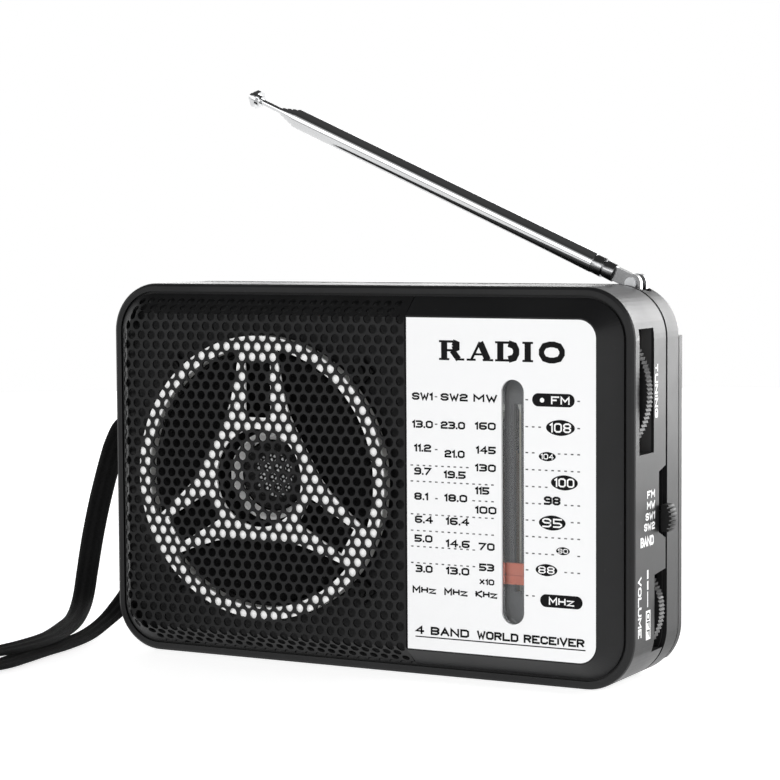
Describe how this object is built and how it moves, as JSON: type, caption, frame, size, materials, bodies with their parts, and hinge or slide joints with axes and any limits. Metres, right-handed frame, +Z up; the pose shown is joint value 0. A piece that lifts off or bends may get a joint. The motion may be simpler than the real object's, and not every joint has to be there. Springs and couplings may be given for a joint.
{
  "type": "portable shortwave receiver",
  "caption": "Pocket radio receiver: slab case with perforated speaker front, printed slide dial, thumbwheels, folding telescopic antenna, battery box and wrist strap.",
  "frame": {"origin": "centre of the case's bottom face, between the ends and on the case's front-to-back datum", "axes": "+X to the case's right seen from the front, +Y to the back, +Z up"},
  "size_m": [0.1517, 0.0943, 0.1165],
  "materials": {
    "case_plastic": "satin textured black",
    "grille_metal": "satin black, pressed perforations",
    "dial_white": "white dial plate with printed scale",
    "clear_window": "clear acrylic strip",
    "pointer_red": "orange-red",
    "steel": "plain steel",
    "zinc_screw": "zinc plated",
    "black_screw": "black oxide",
    "wheel_black": "satin black, knurled rim",
    "white_nylon": "natural nylon",
    "clear_nylon": "translucent nylon",
    "cord_nylon": "braided nylon dial cord",
    "board_green": "phenolic board with solder side",
    "can_metal": "tinned cans",
    "chip_black": "epoxy package",
    "cap_sleeve": "dark blue sleeve",
    "resistor_body": "lacquered with colour bands",
    "filter_orange": "ceramic filter resin",
    "copper": "enamelled copper wire",
    "ferrite": "dark grey ferrite",
    "magnet_ferrite": "ferrite ring magnet",
    "paper_gasket": "white board ring",
    "white_guard": "white moulded guard",
    "cone_paper": "black paper cone",
    "dust_cap": "domed aluminium foil cap",
    "cell_jacket": "plain printed jacket",
    "spring_steel": "nickel plated spring wire",
    "chrome": "bright chrome plating",
    "strap_web": "woven black webbing"
  },
  "bodies": {
    "case": {"front_shell": "case_plastic", "back_shell": "case_plastic", "speaker_grille": "grille_metal", "dial_plate": "dial_white", "dial_window": "clear_window", "pointer_guide": "steel", "tuning_capacitor": "clear_nylon", "dial_cord": "cord_nylon", "idler_pin": "steel", "volume_pot": "can_metal", "band_switch": "can_metal", "circuit_board": "board_green", "board_screws": "zinc_screw", "coil_cans": "can_metal", "chips": "chip_black", "electrolytics": "cap_sleeve", "resistors": "resistor_body", "ceramic_filter": "filter_orange", "air_coils": "copper", "ferrite_rod": "ferrite", "rod_coils": "copper", "rod_saddles": "white_nylon", "speaker_basket": "steel", "speaker_gasket": "paper_gasket", "speaker_guard": "white_guard", "speaker_magnet": "magnet_ferrite", "speaker_rear_plate": "steel", "speaker_clamps": "steel", "clamp_screws": "zinc_screw", "earphone_jack": "case_plastic", "battery_left": "cell_jacket", "battery_right": "cell_jacket", "battery_springs": "spring_steel", "battery_contacts": "spring_steel", "case_screws": "black_screw", "antenna_bushing": "case_plastic", "strap_bar": "steel", "wrist_strap": "strap_web"},
    "tuning": {"tuning_wheel": "wheel_black", "cord_drum": "white_nylon", "tuning_screw": "zinc_screw", "tuning_shaft": "steel"},
    "dial_pointer": {"pointer": "pointer_red"},
    "idler": {"idler_pulley": "white_nylon"},
    "volume": {"volume_wheel": "wheel_black", "volume_screw": "zinc_screw"},
    "band_selector": {"band_slider": "wheel_black"},
    "battery_cover": {"battery_door": "case_plastic"},
    "cone": {"speaker_cone": "cone_paper", "cone_collar": "white_guard", "dust_cap": "dust_cap", "voice_coil": "copper"},
    "antenna_swivel": {"antenna_base": "chrome", "antenna_pin": "steel"},
    "antenna_arm": {"antenna_lug": "chrome", "antenna_tube_1": "chrome"},
    "antenna_section_2": {"antenna_tube_2": "chrome"},
    "antenna_section_3": {"antenna_tube_3": "chrome"},
    "antenna_section_4": {"antenna_tube_4": "chrome", "antenna_tip": "chrome"}
  },
  "joints": [
    {"name": "tuning_turn", "type": "hinge", "parent": "case", "child": "tuning", "pos_m": [0.0435, -0.0074, 0.0562], "axis": [0, 1, 0], "range_deg": [0, 180]},
    {"name": "pointer_slide", "type": "slide", "parent": "case", "child": "dial_pointer", "axis": [0, 0, 1], "range_m": [0, 0.028]},
    {"name": "idler_turn", "type": "hinge", "parent": "case", "child": "idler", "pos_m": [0.0376, -0.0104, 0.015], "axis": [0, 1, 0], "range_deg": [0, 536]},
    {"name": "volume_turn", "type": "hinge", "parent": "case", "child": "volume", "pos_m": [0.0486, 0.0006, 0.0142], "axis": [0, 1, 0], "range_deg": [0, 280]},
    {"name": "band_slide", "type": "slide", "parent": "case", "child": "band_selector", "axis": [0, 0, 1], "range_m": [0, 0.0075]},
    {"name": "battery_cover_turn", "type": "hinge", "parent": "case", "child": "battery_cover", "pos_m": [0.01, 0.01245, 0.059], "axis": [1, 0, 0], "range_deg": [0, 70]},
    {"name": "cone_travel", "type": "slide", "parent": "case", "child": "cone", "axis": [0, 1, 0], "range_m": [-0.0004, 0.0004], "stiffness_N_per_m": 900},
    {"name": "antenna_swivel_turn", "type": "hinge", "parent": "case", "child": "antenna_swivel", "pos_m": [0.0502, 0.008, 0.0766], "axis": [0, 0, 1], "range_deg": [-180, 180]},
    {"name": "antenna_raise", "type": "hinge", "parent": "antenna_swivel", "child": "antenna_arm", "pos_m": [0.0502, 0.008, 0.0766], "axis": [0, 1, 0], "range_deg": [-24, 76]},
    {"name": "antenna_pull_1", "type": "slide", "parent": "antenna_arm", "child": "antenna_section_2", "axis": [-0.9135, 0, 0.4067], "range_m": [0, 0.064]},
    {"name": "antenna_pull_2", "type": "slide", "parent": "antenna_section_2", "child": "antenna_section_3", "axis": [-0.9135, 0, 0.4067], "range_m": [0, 0.064]},
    {"name": "antenna_pull_3", "type": "slide", "parent": "antenna_section_3", "child": "antenna_section_4", "axis": [-0.9135, 0, 0.4067], "range_m": [0, 0.064]}
  ],
  "couplings": [
    {"joint": "pointer_slide", "follows": "tuning_turn", "m_per_rad": 0.0089},
    {"joint": "idler_turn", "follows": "tuning_turn", "ratio": 2.9667}
  ]
}
